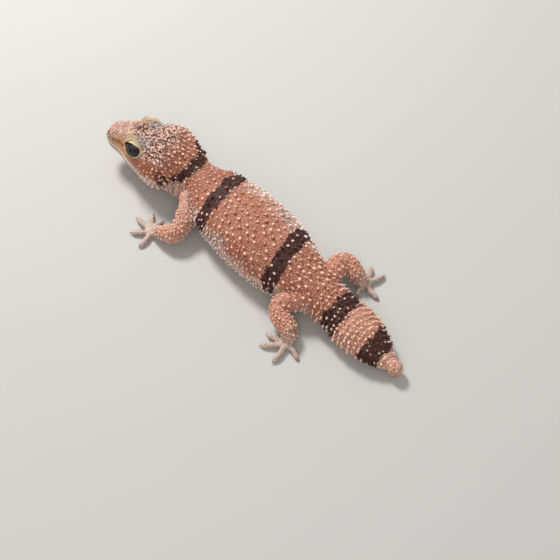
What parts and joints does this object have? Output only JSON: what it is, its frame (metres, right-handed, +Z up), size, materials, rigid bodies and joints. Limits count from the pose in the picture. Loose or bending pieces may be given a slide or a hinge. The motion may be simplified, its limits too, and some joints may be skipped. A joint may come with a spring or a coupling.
{
  "type": "knob-tailed gecko figure",
  "caption": "Still, life-size knob-tailed gecko resting on its belly, with banded tubercled skin, large head, splayed legs and a plump tail ending in a small round knob.",
  "frame": {"origin": "on the ground, in the middle of the flat that the belly rests on, under the middle of the trunk", "axes": "+Z up; the snout points towards -Y and the tail towards +Y; +X is the animal's left side"},
  "size_m": [0.0442, 0.1171, 0.0177],
  "materials": {
    "banded_skin": "dry, finely scaled skin with raised tubercles and dark cross bands",
    "pale_digit_skin": "dry, finely scaled pale skin of the hands and feet",
    "eye": "wet, glossy eye"
  },
  "bodies": {
    "root": {"eye_left": "eye", "eye_right": "eye", "foot_left": "pale_digit_skin", "foot_right": "pale_digit_skin", "forearm_left": "banded_skin", "forearm_right": "banded_skin", "hand_left": "pale_digit_skin", "hand_right": "pale_digit_skin", "head": "banded_skin", "neck": "banded_skin", "shin_left": "banded_skin", "shin_right": "banded_skin", "tail": "banded_skin", "tail_knob": "banded_skin", "thigh_left": "banded_skin", "thigh_right": "banded_skin", "torso": "banded_skin", "upper_arm_left": "banded_skin", "upper_arm_right": "banded_skin"}
  },
  "joints": []
}
